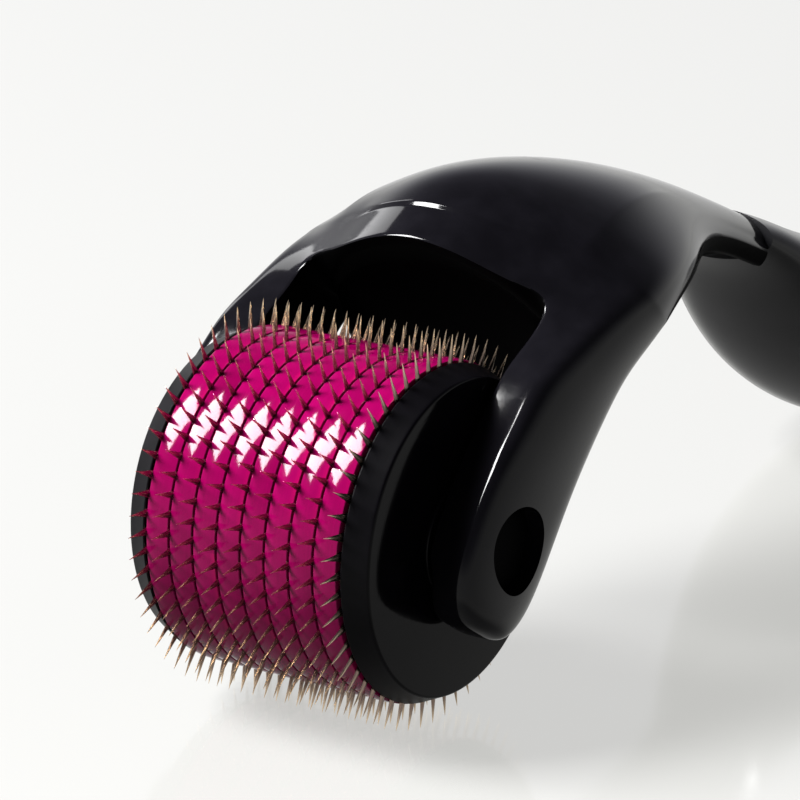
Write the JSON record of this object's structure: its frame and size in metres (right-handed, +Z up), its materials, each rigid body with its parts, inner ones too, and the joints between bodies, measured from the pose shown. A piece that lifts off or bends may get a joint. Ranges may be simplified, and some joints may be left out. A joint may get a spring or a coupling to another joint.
{
  "type": "derma roller",
  "caption": "Hand-held micro-needle roller: a curved two-armed fork on a moulded grip carries a free-turning drum of coloured rings with rows of fine needles between them.",
  "frame": {"origin": "under the middle of the overall box, on the table the roller stands on", "axes": "+X along the drum's axis, +Y from the drum towards the tail of the grip, +Z up"},
  "size_m": [0.0252, 0.1432, 0.029],
  "materials": {
    "fork_plastic": "polished black",
    "grip_plastic": "semi-gloss black",
    "cap_plastic": "polished black",
    "core_plastic": "plain black",
    "magenta_plastic": "polished, slightly translucent magenta",
    "needle_steel": "bright, warm-toned"
  },
  "bodies": {
    "handle": {"fork": "fork_plastic", "grip": "grip_plastic"},
    "drum": {"drum_core": "core_plastic", "spacer_ring_1": "magenta_plastic", "spacer_ring_2": "magenta_plastic", "spacer_ring_3": "magenta_plastic", "spacer_ring_4": "magenta_plastic", "spacer_ring_5": "magenta_plastic", "spacer_ring_6": "magenta_plastic", "spacer_ring_7": "magenta_plastic", "spacer_ring_8": "magenta_plastic", "needle_disc_1": "needle_steel", "needle_disc_2": "needle_steel", "needle_disc_3": "needle_steel", "needle_disc_4": "needle_steel", "needle_disc_5": "needle_steel", "needle_disc_6": "needle_steel", "needle_disc_7": "needle_steel", "needle_disc_8": "needle_steel", "needle_disc_9": "needle_steel", "end_cap_near": "cap_plastic", "end_cap_far": "cap_plastic"}
  },
  "joints": [
    {"name": "drum_spin", "type": "hinge", "parent": "handle", "child": "drum", "pos_m": [0, -0.0601, 0.0115], "axis": [1, 0, 0], "continuous": true}
  ]
}
